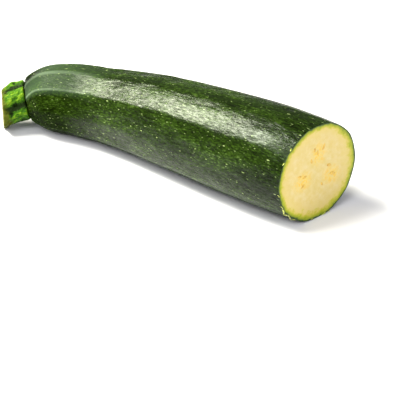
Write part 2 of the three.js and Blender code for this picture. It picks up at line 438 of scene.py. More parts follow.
class Loft:
    """A closed body drawn out along X, ring by ring, the way it is done by hand: extrude, then scale."""

    def __init__(self, name: str, sides: int, along: float, radius: float) -> None:
        """Starts with a filled ring across X and goes into edit mode.

        Args:
            name: The new object's name.
            sides: Vertices in a ring.
            along: Where the first ring stands, in millimetres.
            radius: Its radius, in millimetres.
        """
        clear_selection()
        bpy.ops.mesh.primitive_circle_add(
            vertices=sides,
            radius=radius * MM,
            fill_type="NGON",
            location=(along * MM, 0, 0),
            rotation=(0, math.pi / 2, 0),
        )
        self.piece: bpy.types.Object = bpy.context.object
        self.piece.name = self.piece.data.name = name
        bpy.ops.object.transform_apply(location=True, rotation=True, scale=True)
        self.sides = sides
        self.along = along
        self.reach = radius
        bpy.ops.object.mode_set(mode="EDIT")
        bpy.ops.mesh.select_all(action="SELECT")

    def ring_to(self, along: float, radius: float) -> None:
        """Extrudes the end face to the next ring and scales it.

        Args:
            along: Where the new ring stands, in millimetres.
            radius: Its radius, in millimetres.
        """
        bpy.ops.mesh.extrude_region_move(TRANSFORM_OT_translate={"value": ((along - self.along) * MM, 0, 0)})
        ratio = radius / self.reach
        bpy.ops.transform.resize(value=(1, ratio, ratio), center_override=(along * MM, 0, 0))
        self.along, self.reach = along, radius

    def angle_step(self, point: Vector) -> int:
        """Which of the ring's places a point is at, counted from the -Y side upwards."""
        return round(math.atan2(point.z, -point.y) / (2 * math.pi) * self.sides) % self.sides

    def scale_places(self, along: float, places: int, which: set[int], ratio: float) -> None:
        """Scales some vertices of one ring towards the axis.

        Args:
            along: Where the ring stands, in millimetres.
            places: How many places make one repeat round the ring.
            which: The places in each repeat that move.
            ratio: What their radius is multiplied by.
        """
        pick(lambda co: abs(co.x / MM - along) < SAME_PLACE and self.angle_step(co) % places in which)
        bpy.ops.transform.resize(value=(1, ratio, ratio), center_override=(along * MM, 0, 0))

    def crease_places(self, start: float, end: float, places: int, amount: float) -> None:
        """Sharpens the lengthwise edges at the first place of each repeat, over one stretch."""
        pick(lambda co: start <= co.x / MM <= end and self.angle_step(co) % places == 0)
        bpy.ops.transform.edge_crease(value=amount)

    def done(self) -> bpy.types.Object:
        """Turns all faces outwards and leaves edit mode.

        Returns:
            The finished body.
        """
        bpy.ops.mesh.select_all(action="SELECT")
        bpy.ops.mesh.remove_doubles(threshold=1e-7)
        bpy.ops.mesh.normals_make_consistent(inside=False)
        bpy.ops.object.mode_set(mode="OBJECT")
        return self.piece


def add_node(
    tree: bpy.types.NodeTree, kind: str, links: Optional[dict] = None, **settings: Any
) -> bpy.types.Node:
    """Adds one node with its settings and its inputs.

    Args:
        tree: The material's tree.
        kind: The node's type, without its "ShaderNode".
        links: Inputs by name or number: an output socket is linked, and anything else is set.
        **settings: The node's own settings by name.

    Returns:
        The new node.
    """
    node = tree.nodes.new("ShaderNode" + kind)
    for name, value in settings.items():
        setattr(node, name, value)
    for name, value in (links or {}).items():
        if isinstance(value, bpy.types.NodeSocket):
            tree.links.new(value, node.inputs[name])
        else:
            node.inputs[name].default_value = value
    return node


def new_material(name: str) -> tuple[bpy.types.Material, bpy.types.NodeTree, bpy.types.Node]:
    """Makes a material that holds only an output.

    Args:
        name: What the real material is.

    Returns:
        The material, its tree and its output node.
    """
    material = bpy.data.materials.new(name)
    material.use_nodes = True
    tree = material.node_tree
    tree.nodes.clear()
    return material, tree, add_node(tree, "OutputMaterial")


def set_stops(ramp: bpy.types.ColorRamp, stops: Sequence[tuple[float, str]]) -> None:
    """Gives a colour ramp its colours.

    Args:
        ramp: The ramp, with the two stops that it starts with.
        stops: Positions in rising order, and hex colours.
    """
    for position, code in stops[1:-1]:
        ramp.elements.new(position).color = from_hex(code)
    for index in (0, -1):
        position, code = stops[index]
        ramp.elements[index].position, ramp.elements[index].color = position, from_hex(code)


@dataclass(frozen=True)
class Specks:
    """One size of the pale breathing spots in the skin: lengths in millimetres."""

    spacing: float
    least: float
    most: float
    chance: float
    strength: float
    colour: str


@dataclass(frozen=True)
class WaxySkin:
    """Courgette skin: an epidermis under its own wax, over dark chlorophyll with pale breathing spots.

    The wax gives a broad soft gloss that the skin's fine pimples break into grain. The spots are 0.25 to
    0.65 mm across and about three times as long, because the fruit grew in that direction after they formed.
    """

    tones: tuple[tuple[float, str], ...] = (
        (0.1, "060d00"),
        (0.45, "162404"),
        (0.75, "2c400f"),
        (1.0, "6f8450"),
    )
    # Grey-green on the upper faces near the neck: partly matt wax on the skin, partly a painted sheen where
    # the top faces take the light.
    bloom_and_sheen: str = "475945"
    bloom_and_sheen_most: float = 0.42
    # Pale lines on the upward-facing ribs near the stem: partly paler ribs, partly a painted highlight along
    # the ridges.
    rib_line_and_highlight: str = "71826a"
    rib_line_and_highlight_from: float = 0.78
    rib_line_and_highlight_most: float = 0.6
    rib_line_and_highlight_fade: float = 1.7
    specks: tuple[Specks, ...] = (
        Specks(2.3, 0.18, 0.33, 0.7, 0.75, "9cad70"),
        Specks(1.3, 0.14, 0.27, 0.75, 0.75, "7c8f58"),
        Specks(0.95, 0.12, 0.25, 0.5, 0.55, "566a38"),
    )
    speck_core: float = 0.4
    drawn_out: float = 2.9
    waver_per_mm: float = 1.2
    grain: float = 0.75
    grain_range: Span = (0.36, 0.66)
    grain_most: float = 0.6
    clouds: float = 9.0
    cloud_range: Span = (0.32, 0.7)
    cloud_most: float = 0.36
    pimples: float = 0.7
    pimple_height: float = 0.16
    dents_per_mm: float = 0.22
    dent_height: float = 1.1
    wax_range: Span = (0.36, 0.62)
    gloss: Span = (0.08, 0.29)
    roughness: Span = (0.26, 0.17)
    neck_gloss: float = 0.08
    edge_range: Span = (0.4, 0.9)
    edge_gloss: float = 0.12
    wax_tint: Colour = (0.9, 1.0, 0.86, 1.0)
    ior: float = 1.45

    def speck_share(
        self, tree: bpy.types.NodeTree, place: bpy.types.NodeSocket, kind: Specks
    ) -> bpy.types.NodeSocket:
        """Scatters one size of specks.

        Args:
            tree: The material's tree.
            place: The skin's own coordinates, in millimetres.
            kind: The specks.

        Returns:
            How much of the specks' colour a place has.
        """
        cells = add_node(tree, "TexVoronoi", {"Vector": place, "Scale": 1 / kind.spacing})
        draw = add_node(tree, "SeparateColor", {"Color": cells.outputs["Color"]})
        sizes = {"To Min": kind.least / kind.spacing, "To Max": kind.most / kind.spacing}
        radius = add_node(tree, "MapRange", {"Value": draw.outputs["Red"], **sizes}).outputs[0]
        core = add_node(tree, "Math", {0: radius, 1: self.speck_core}, operation="MULTIPLY")
        edge = {"Value": cells.outputs["Distance"], "From Min": radius, "From Max": core.outputs[0]}
        spot = add_node(tree, "MapRange", edge, interpolation_type="SMOOTHSTEP")
        there = add_node(tree, "Math", {0: draw.outputs["Green"], 1: kind.chance}, operation="LESS_THAN")
        shown = add_node(tree, "Math", {0: spot.outputs[0], 1: there.outputs[0]}, operation="MULTIPLY")
        share = add_node(tree, "Math", {0: shown.outputs[0], 1: kind.strength}, operation="MULTIPLY")
        return share.outputs[0]

    def make(self) -> bpy.types.Material:
        """Builds the material.

        Returns:
            The material, which reads the attributes grown, rib, neck, bloom and shade.
        """
        material, tree, output = new_material("waxy courgette skin")
        grown = add_node(tree, "Attribute", attribute_name="grown").outputs["Vector"]
        rib = add_node(tree, "Attribute", attribute_name="rib").outputs["Fac"]
        neck = add_node(tree, "Attribute", attribute_name="neck").outputs["Fac"]
        bloom_and_sheen = add_node(tree, "Attribute", attribute_name="bloom_and_sheen").outputs["Fac"]
        drawn = add_node(tree, "Mapping", {"Vector": grown, "Scale": (1 / self.drawn_out, 1, 1)}).outputs[0]
        warp = add_node(tree, "TexNoise", {"Vector": drawn, "Scale": self.waver_per_mm, "Detail": 2})
        stray = add_node(
            tree, "VectorMath", {0: warp.outputs["Color"], 1: (0.5, 0.5, 0.5)}, operation="SUBTRACT"
        )
        place = add_node(tree, "VectorMath", {0: drawn, 1: stray.outputs[0]}, operation="ADD").outputs[0]

        shares = []
        for size, detail, rough, (low, high), most in (
            (self.grain, 5, 0.7, self.grain_range, self.grain_most),
            (self.clouds, 3, 0.6, self.cloud_range, self.cloud_most),
        ):
            look = {"Vector": drawn, "Scale": 1 / size, "Detail": detail, "Roughness": rough}
            pattern = add_node(tree, "TexNoise", look).outputs["Fac"]
            spread = {"Value": pattern, "From Min": low, "From Max": high, "To Max": most}
            shares.append(add_node(tree, "MapRange", spread).outputs[0])
        mottle = add_node(tree, "Math", {0: shares[0], 1: shares[1]}, operation="ADD")
        # Painted shade in the nook and on the neck's lower faces, painted floor reflection on the lower flank,
        # and a darker tone towards the cut end.
        shade = add_node(tree, "Attribute", attribute_name="shade").outputs["Fac"]
        tone = add_node(tree, "Math", {0: mottle.outputs[0], 1: shade}, operation="ADD")
        ground = add_node(tree, "ValToRGB", {"Fac": tone.outputs[0]})
        set_stops(ground.color_ramp, self.tones)

        # Painted sheen, partly matt wax, laid on the upper faces near the neck.
        dull = add_node(tree, "Math", {0: bloom_and_sheen, 1: self.bloom_and_sheen_most}, operation="MULTIPLY")
        # Pale rib lines, partly paler ribs and partly a painted highlight, faded out away from the stem.
        ends = {"From Min": self.rib_line_and_highlight_from, "From Max": 1.0, "To Max": self.rib_line_and_highlight_most}
        line = add_node(tree, "MapRange", {"Value": rib, **ends})
        near_stem = add_node(tree, "Math", {0: bloom_and_sheen, 1: self.rib_line_and_highlight_fade}, operation="POWER")
        pale = add_node(tree, "Math", {0: line.outputs[0], 1: near_stem.outputs[0]}, operation="MULTIPLY")
        layers = [(dull.outputs[0], self.bloom_and_sheen), (pale.outputs[0], self.rib_line_and_highlight)]
        layers += [(self.speck_share(tree, place, kind), kind.colour) for kind in self.specks]
        coat = ground.outputs["Color"]
        for share, code in layers:
            laid = {"Factor": share, "A": coat, "B": from_hex(code)}
            coat = add_node(tree, "Mix", laid, data_type="RGBA").outputs["Result"]

        pimples = add_node(
            tree, "TexNoise", {"Vector": drawn, "Scale": 1 / self.pimples, "Detail": 3, "Roughness": 0.6}
        )
        dents = add_node(tree, "TexNoise", {"Vector": drawn, "Scale": self.dents_per_mm, "Detail": 2})
        shallow = {"Height": dents.outputs["Fac"], "Distance": self.dent_height * MM, "Strength": 0.4}
        dent_bump = add_node(tree, "Bump", shallow)
        bump = add_node(
            tree,
            "Bump",
            {
                "Height": pimples.outputs["Fac"],
                "Distance": self.pimple_height * MM,
                "Strength": 0.7,
                "Normal": dent_bump.outputs[0],
            },
        )
        wax = add_node(tree, "TexNoise", {"Vector": place, "Scale": 1.0, "Detail": 4, "Roughness": 0.65})
        low, high = self.wax_range
        patchy = {"Value": wax.outputs["Fac"], "From Min": low, "From Max": high}
        gloss, rough = (
            add_node(tree, "MapRange", {**patchy, "To Min": least, "To Max": most}).outputs[0]
            for least, most in (self.gloss, self.roughness)
        )
        slant = add_node(tree, "LayerWeight", {"Blend": 0.5}).outputs["Facing"]
        for value, (low, high), least in (
            (neck, (0.0, 1.0), self.neck_gloss),
            (slant, self.edge_range, self.edge_gloss),
        ):
            fade = {"Value": value, "From Min": low, "From Max": high, "To Min": 1.0, "To Max": least}
            kept = add_node(tree, "MapRange", fade)
            gloss = add_node(tree, "Math", {0: gloss, 1: kept.outputs[0]}, operation="MULTIPLY").outputs[0]
        shader = add_node(
            tree,
            "BsdfPrincipled",
            {
                "Base Color": coat,
                "Roughness": rough,
                "IOR": self.ior,
                "Specular IOR Level": gloss,
                "Specular Tint": self.wax_tint,
                "Normal": bump.outputs[0],
            },
        )
        tree.links.new(shader.outputs[0], output.inputs["Surface"])
        return material


@dataclass(frozen=True)
class MoistFlesh:
    """Freshly sliced courgette: watery cells that scatter light, ringed by green rind and the dark skin.

    A knife leaves the face smooth but for the cell walls, so it shines softly. The skin's dark edge is about
    half a millimetre wide, and the rind fades into the flesh over about three. The pulp round the seeds is
    clearer and more orange than the rest.
    """

    rings: tuple[tuple[float, str], ...] = (
        (0.0, "1a2a05"),
        (0.5, "2c4408"),
        (0.95, "7c8c04"),
        (1.7, "a2a416"),
        (2.6, "beb046"),
        (3.6, "cab66c"),
        (7.0, "c9b36c"),
    )
    ring_widths: Span = (1.5, 0.65)
    middle: str = "d2c394"
    middle_most: float = 0.7
    middle_depths: Span = (2.5, 7.0)
    pulp: str = "dcbc50"
    vein: str = "d2a23e"
    wall_height: float = 0.2
    roughness: float = 0.42
    ior: float = 1.37
    scatter: float = 0.2
    scatter_reach: float = 0.6

    def make(self) -> bpy.types.Material:
        """Builds the material.

        Returns:
            The material, which reads the attributes face, depth and pulp.
        """
        material, tree, output = new_material("moist courgette flesh")
        face = add_node(tree, "Attribute", attribute_name="face").outputs["Vector"]
        depth = add_node(tree, "Attribute", attribute_name="depth").outputs["Fac"]
        pulp = add_node(tree, "Attribute", attribute_name="pulp").outputs["Fac"]

        # The rings wander by a few tenths of a millimetre, and are wider in some places than in others.
        wander = add_node(tree, "TexNoise", {"Vector": face, "Scale": 0.35, "Detail": 4, "Roughness": 0.6})
        wide, narrow = self.ring_widths
        spread = {"From Min": 0.3, "From Max": 0.7, "To Min": wide, "To Max": narrow}
        wider = add_node(tree, "MapRange", {"Value": wander.outputs["Fac"], **spread})
        strayed = add_node(tree, "Math", {0: depth, 1: wider.outputs[0]}, operation="MULTIPLY")
        deepest = self.rings[-1][0]
        inwards = add_node(tree, "MapRange", {"Value": strayed.outputs[0], "From Max": deepest})
        rings = add_node(tree, "ValToRGB", {"Fac": inwards.outputs[0]})
        set_stops(rings.color_ramp, [(position / deepest, code) for position, code in self.rings])

        cells = add_node(tree, "TexNoise", {"Vector": face, "Scale": 0.3, "Detail": 5, "Roughness": 0.65})
        spread = {"From Min": 0.38, "From Max": 0.68, "To Max": self.middle_most}
        cell = add_node(tree, "MapRange", {"Value": cells.outputs["Fac"], **spread})
        low, high = self.middle_depths
        inside = add_node(tree, "MapRange", {"Value": depth, "From Min": low, "From Max": high})
        share = add_node(tree, "Math", {0: cell.outputs[0], 1: inside.outputs[0]}, operation="MULTIPLY")
        laid = {"Factor": share.outputs[0], "A": rings.outputs["Color"], "B": from_hex(self.middle)}
        mottled = add_node(tree, "Mix", laid, data_type="RGBA")
        patches = add_node(tree, "TexNoise", {"Vector": face, "Scale": 0.5, "Detail": 3, "Distortion": 0.8})
        coloured = mottled.outputs["Result"]
        for low, high, most, code in ((0.36, 0.56, 0.9, self.pulp), (0.52, 0.66, 0.8, self.vein)):
            spread = {"Value": patches.outputs["Fac"], "From Min": low, "From Max": high, "To Max": most}
            patch = add_node(tree, "MapRange", spread)
            share = add_node(tree, "Math", {0: patch.outputs[0], 1: pulp}, operation="MULTIPLY")
            laid = {"Factor": share.outputs[0], "A": coloured, "B": from_hex(code)}
            coloured = add_node(tree, "Mix", laid, data_type="RGBA").outputs["Result"]
        fine = add_node(tree, "TexNoise", {"Vector": face, "Scale": 1.6, "Detail": 3})
        walls = {"Height": fine.outputs["Fac"], "Distance": self.wall_height * MM, "Strength": 0.35}
        bump = add_node(tree, "Bump", walls)
        shader = add_node(
            tree,
            "BsdfPrincipled",
            {
                "Base Color": coloured,
                "Roughness": self.roughness,
                "IOR": self.ior,
                "Subsurface Weight": self.scatter,
                "Subsurface Radius": (1.0, 0.7, 0.3),
                "Subsurface Scale": self.scatter_reach * MM,
                "Normal": bump.outputs[0],
            },
        )
        tree.links.new(shader.outputs[0], output.inputs["Surface"])
        return material


@dataclass(frozen=True)
class UnripeSeed:
    """An unripe seed: a soft translucent coat, straw to orange, wet from the pulp round it.

    The coat formed smooth and is still thin, so it shines a little and its colour is blotched.
    """

    coat: str = "d2ad50"
    tip: str = "b88f40"
    blotches_per_mm: float = 0.9
    roughness: float = 0.38
    ior: float = 1.38
    scatter: float = 0.12
    scatter_reach: float = 0.4

    def make(self) -> bpy.types.Material:
        """Builds the material, which reads Object coordinates.

        Returns:
            The material.
        """
        material, tree, output = new_material("unripe seed coat")
        place = add_node(tree, "TexCoord").outputs["Object"]
        rate = self.blotches_per_mm / MM
        blotch = add_node(tree, "TexNoise", {"Vector": place, "Scale": rate, "Detail": 2})
        spread = {"Value": blotch.outputs["Fac"], "From Min": 0.4, "From Max": 0.65}
        share = add_node(tree, "MapRange", spread)
        blend = {"Factor": share.outputs[0], "A": from_hex(self.coat), "B": from_hex(self.tip)}
        colour = add_node(tree, "Mix", blend, data_type="RGBA")
        shader = add_node(
            tree,
            "BsdfPrincipled",
            {
                "Base Color": colour.outputs["Result"],
                "Roughness": self.roughness,
                "IOR": self.ior,
                "Subsurface Weight": self.scatter,
                "Subsurface Radius": (1.0, 0.7, 0.3),
                "Subsurface Scale": self.scatter_reach * MM,
            },
        )
        tree.links.new(shader.outputs[0], output.inputs["Surface"])
        return material


@dataclass(frozen=True)
class FibrousStem:
    """A courgette's stem: five stringy ridges, green and faintly hairy, dried olive-brown where it was cut.

    The ridges are lighter in colour, and the grooves between them, the pits and the lower side are darkened as
    painted shade. Fibres run lengthwise, about 0.7 mm apart, and give a stringy grain.
    """

    tones: tuple[tuple[float, str], ...] = ((0.15, "0a1c00"), (0.6, "2e5a02"), (1.0, "6c8a18"))
    olive: str = "404606"
    dried: str = "66622a"
    drawn_out: float = 4.0
    fibres_per_mm: float = 1.5
    fibre_height: float = 0.5
    lumps_per_mm: float = 0.5
    lump_height: float = 1.6
    mottle: float = 0.4
    drying_stray: float = 0.5
    gloss: float = 0.14
    gloss_tint: Colour = (0.9, 1.0, 0.6, 1.0)
    roughness: float = 0.5
    ior: float = 1.45

    def make(self) -> bpy.types.Material:
        """Builds the material.

        Returns:
            The material, which reads the attributes grown, ridge and cut.
        """
        material, tree, output = new_material("fibrous courgette stem")
        grown = add_node(tree, "Attribute", attribute_name="grown").outputs["Vector"]
        tone_and_painted_shade = add_node(tree, "Attribute", attribute_name="tone_and_painted_shade").outputs["Fac"]
        cut = add_node(tree, "Attribute", attribute_name="cut").outputs["Fac"]
        strung = add_node(tree, "Mapping", {"Vector": grown, "Scale": (1 / self.drawn_out, 1, 1)}).outputs[0]
        fibres, lumps = (
            add_node(
                tree, "TexNoise", {"Vector": where, "Scale": rate, "Detail": 4, "Roughness": rough}
            ).outputs["Fac"]
            for where, rate, rough in (
                (strung, self.fibres_per_mm, 0.65),
                (grown, self.lumps_per_mm, 0.6),
            )
        )
        shade = add_node(tree, "Math", {0: fibres, 1: lumps}, operation="ADD")
        spread = {"From Min": 0.7, "From Max": 1.3, "To Min": -self.mottle, "To Max": self.mottle}
        centred = add_node(tree, "MapRange", {"Value": shade.outputs[0], **spread})
        tone = add_node(tree, "Math", {0: centred.outputs[0], 1: tone_and_painted_shade}, operation="ADD")
        green = add_node(tree, "ValToRGB", {"Fac": tone.outputs[0]})
        set_stops(green.color_ramp, self.tones)
        stray = {"Value": lumps, "To Min": -self.drying_stray, "To Max": self.drying_stray}
        edge_noise = add_node(tree, "MapRange", stray, clamp=False)
        edge = add_node(tree, "Math", {0: cut, 1: edge_noise.outputs[0]}, operation="ADD")
        coat = green.outputs["Color"]
        for low, high, code in ((0.45, 0.9, self.olive), (1.0, 1.5, self.dried)):
            share = add_node(tree, "MapRange", {"Value": edge.outputs[0], "From Min": low, "From Max": high})
            laid = {"Factor": share.outputs[0], "A": coat, "B": from_hex(code)}
            coat = add_node(tree, "Mix", laid, data_type="RGBA").outputs["Result"]
        wide = {"Height": lumps, "Distance": self.lump_height * MM, "Strength": 0.7}
        under = add_node(tree, "Bump", wide).outputs[0]
        fine = {"Height": fibres, "Distance": self.fibre_height * MM, "Strength": 0.7, "Normal": under}
        bump = add_node(tree, "Bump", fine)
        shader = add_node(
            tree,
            "BsdfPrincipled",
            {
                "Base Color": coat,
                "Roughness": self.roughness,
                "IOR": self.ior,
                "Specular IOR Level": self.gloss,
                "Specular Tint": self.gloss_tint,
                "Normal": bump.outputs[0],
            },
        )
        tree.links.new(shader.outputs[0], output.inputs["Surface"])
        return material


@dataclass
class Fruit:
    """The fruit: its ribbed skin and its cut face, one closed body."""

    growth: Growth
    skin: WaxySkin = field(default_factory=WaxySkin)
    flesh: MoistFlesh = field(default_factory=MoistFlesh)
    sides: int = 40
    rings: int = 36
    crowding: float = 1.2
    rim_loops: Span = (1.5, 0.35)
    rim_band: float = 0.12
    rib_creases: tuple[tuple[float, float, float], ...] = (
        (0, 45, 0.75),
        (45, 90, 0.5),
        (90, 130, 0.3),
        (130, 165, 0.15),
    )
    face_steps: tuple[float, ...] = (0.35, 0.45, 0.6, 0.8, 1.1, 1.5, 2.0, 2.4, 2.6, 2.6, 2.6, 2.6, 2.0)
    pulp_angles: tuple[float, ...] = (math.radians(88), math.radians(188), math.radians(334))
    pulp_radius: float = 9.6
    pulp_size: Span = (5.2, 4.4)
    shoulder_reach: float = 11.0
    shoulder_twist: float = math.radians(13)
    shoulder_hollow: float = 0.5
    wide_swell: float = 0.16
    small_swell: float = 0.07
    knife_streaks: float = 0.03
    knife_waves: float = 0.05
    face_band: float = 0.02
    face_sunk: float = 0.02
    pulp_sunk: float = 0.06
    bloom_and_sheen_reach: float = 52.0
    nook_angle: float = math.radians(93)
    nook_width: float = 0.36
    # How dark the hollow beside the stem is painted: painted shade.
    nook_shade: float = 0.6
    # Lightens the lower flank's colour: a painted reflection of the floor.
    painted_underside_reflection: float = 0.06
    deep_end: float = 0.15
    # Darkens the neck's faces that don't face up: painted shade.
    neck_painted_shade: float = 0.1
    low_rind: float = 0.6
    far_rind: float = 0.35
    smooth_under: float = math.radians(50)

    def cage(self) -> bpy.types.Object:
        """Draws the straight fruit out ring by ring, dips its facets and steps in over its cut face.

        Returns:
            The cage, straight and unrolled.
        """
        length, repeat = self.growth.fruit_length, self.sides // self.growth.ribs
        stations = [length * (i / self.rings) ** self.crowding for i in range(self.rings)]
        rim = [length - loop for loop in self.rim_loops] + [length]
        stations = [s for s in stations if s < length - 2 * self.rim_loops[0]] + rim
        radii = self.growth.radius(np.array(stations))
        loft = Loft("fruit_body", self.sides, stations[0], radii[0])
        for along, radius in zip(stations[1:], radii[1:]):
            loft.ring_to(along, radius)
        pitch = 2 * math.pi / self.growth.ribs
        for along in stations:
            faceting = self.growth.faceting(np.array([along]))
            for place in range(1, repeat // 2 + 1):
                ratio = float(self.growth.dip(np.array([pitch * place / repeat]), faceting)[0])
                loft.scale_places(along, repeat, {place, repeat - place}, ratio)
        for start, end, amount in self.rib_creases:
            loft.crease_places(start, end, repeat, amount)
        pick(lambda co: abs(co.x / MM - length) < SAME_PLACE)
        for step in self.face_steps:
            loft.ring_to(length, loft.reach - step)
        return loft.done()

    def relief(self, straight: np.ndarray) -> np.ndarray:
        """Twists the shoulder, makes the skin uneven, and marks and sinks the cut face.

        Args:
            straight: The straight fruit's vertices.

        Returns:
            The same vertices, moved.
        """
        moved = straight.copy()
        along, (radius, angle) = straight[:, 0], polar(straight)
        near_stem = rise(along, self.shoulder_reach, 0)
        twist = self.shoulder_twist * near_stem**2
        moved[:, 1] = straight[:, 1] * np.cos(twist) - straight[:, 2] * np.sin(twist)
        moved[:, 2] = straight[:, 2] * np.cos(twist) + straight[:, 1] * np.sin(twist)
        between_ribs = 0.5 - 0.5 * np.cos(self.growth.ribs * angle)
        hollow = self.shoulder_hollow * between_ribs * near_stem * rise(radius, 4, 12)
        moved[:, 1:] *= (1 - hollow / np.maximum(radius, 1))[:, None]
        swell = self.wide_swell * ripple(straight, (16, 9, 9), 3.1)
        swell += self.small_swell * ripple(straight, (6, 3.5, 3.5), 8.7)
        swell *= rise(self.growth.fruit_length - along, 0, 6)
        moved[:, 1:] *= (1 + swell / np.maximum(radius, 1))[:, None]
        inward = rise(self.edge_radius(straight) - radius, 0, 2.5)
        marks = self.knife_streaks * ripple(straight, (1, 1.4, 9), 5.3)
        marks += self.knife_waves * ripple(straight, (1, 4, 4), 1.9)
        sunk = self.pulp_sunk * self.pulp(straight) + self.face_sunk
        on_face = along > self.growth.fruit_length - self.face_band
        moved[:, 0] += np.where(on_face, inward * (marks - sunk), 0)
        return moved

    def edge_radius(self, straight: np.ndarray) -> np.ndarray:
        """The fruit's own radius at each vertex's distance and angle."""
        along = np.clip(straight[:, 0], 0, self.growth.fruit_length)
        return self.growth.radius(along) * self.growth.dip(polar(straight)[1], self.growth.faceting(along))

    def face_points(self, straight: np.ndarray) -> np.ndarray:
        """Places on the cut face: across towards +Y, and up, in millimetres from its middle.

        Args:
            straight: The straight fruit's vertices.

        Returns:
            One place a vertex.
        """
        radius, unrolled = polar(straight)
        angle = unrolled + self.growth.first_rib
        return np.stack([-radius * np.cos(angle), radius * np.sin(angle), straight[:, 0] * 0], axis=-1)

    def pulp(self, straight: np.ndarray) -> np.ndarray:
        """How much of the seeds' pulp a place on the cut face has, from 0 to 1.

        Args:
            straight: The straight fruit's vertices.

        Returns:
            One share a vertex.
        """
        face = self.face_points(straight)
        length, width = self.pulp_size
        total = np.zeros(len(straight))
        for angle in self.pulp_angles:
            out = face[:, 0] * math.cos(angle) + face[:, 1] * math.sin(angle) - self.pulp_radius
            side = face[:, 1] * math.cos(angle) - face[:, 0] * math.sin(angle)
            total = np.maximum(total, bell(np.hypot(out / length, side / width)))
        return rise(total, 0.12, 0.92)

    def mark(self, piece: bpy.types.Object, straight: np.ndarray) -> None:
        """Stores what the skin and the flesh read: where each vertex grew, its painted shade and painted
        reflection, its matt wax and painted sheen, its rib lines, and how deep it is.

        Args:
            piece: The fruit.
            straight: Its vertices before it was bent.
        """
        along, (radius, unrolled) = straight[:, 0], polar(straight)
        angle = unrolled + self.growth.first_rib
        upward = rise(np.sin(angle), 0.5, 0.65)
        # The hollow beside the stem above rib A, painted dark as painted shade.
        over_top = np.mod(angle, 2 * math.pi) - self.nook_angle
        nook = bell(over_top / self.nook_width) * bell((along - 3) / 6)
        # Lower flank from 40 mm on, for the painted floor reflection.
        under = rise(np.sin(angle), 0.15, -0.45) * rise(along, 40, 70)
        deep = self.deep_end * rise(along, 140, 170) + self.nook_shade * nook
        # The neck's lower faces get painted shade.
        deep += self.neck_painted_shade * rise(along, 60, 30) * (1 - upward)
        low = np.clip(-np.sin(angle) - 0.35, 0, 1)
        far = rise(-np.cos(angle), 0.3, 1)
        rind = 1 - np.maximum(self.low_rind * low, self.far_rind * far)
        store(piece, "grown", straight)
        # Rib mask kept to the upward faces, for the pale rib lines that are partly a painted highlight.
        store(piece, "rib", (0.5 + 0.5 * np.cos(self.growth.ribs * unrolled)) * upward)
        store(piece, "neck", rise(along, 56, 28))
        # Painted reflection lightens the lower flank; painted shade darkens the nook and the neck's lower
        # faces; the cut end is darker in tone.
        store(piece, "shade", self.painted_underside_reflection * under - deep)
        # Only upward faces near the stem get it: partly matt wax, partly painted sheen, and none in the nook's
        # painted shade.
        store(piece, "bloom_and_sheen", rise(along, self.bloom_and_sheen_reach, 0) ** 0.8 * upward * (1 - nook))
        store(piece, "face", self.face_points(straight))
        store(piece, "depth", np.maximum(self.edge_radius(straight) - radius, 0) * rind)
        store(piece, "pulp", self.pulp(straight))

    def build(self) -> bpy.types.Object:
        """Builds the fruit, bends it and dresses it.

        Returns:
            The finished piece, which replaces the frame's fruit.
        """
        piece = self.cage()
        subdivide(piece, Refine.LARGE)
        straight = read_points(piece)
        self.mark(piece, straight)
        write_points(piece, self.growth.place(self.relief(straight)))
        for material in (self.skin.make(), self.flesh.make()):
            piece.data.materials.append(material)
        for polygon in piece.data.polygons:
            corners = straight[list(polygon.vertices)]
            on_face = corners[:, 0].min() > self.growth.fruit_length - self.rim_band
            polygon.material_index = int(on_face)
        make_active(piece)
        bpy.ops.object.shade_smooth_by_angle(angle=self.smooth_under)
        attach(piece, BODY)
        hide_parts("fruit")
        return piece


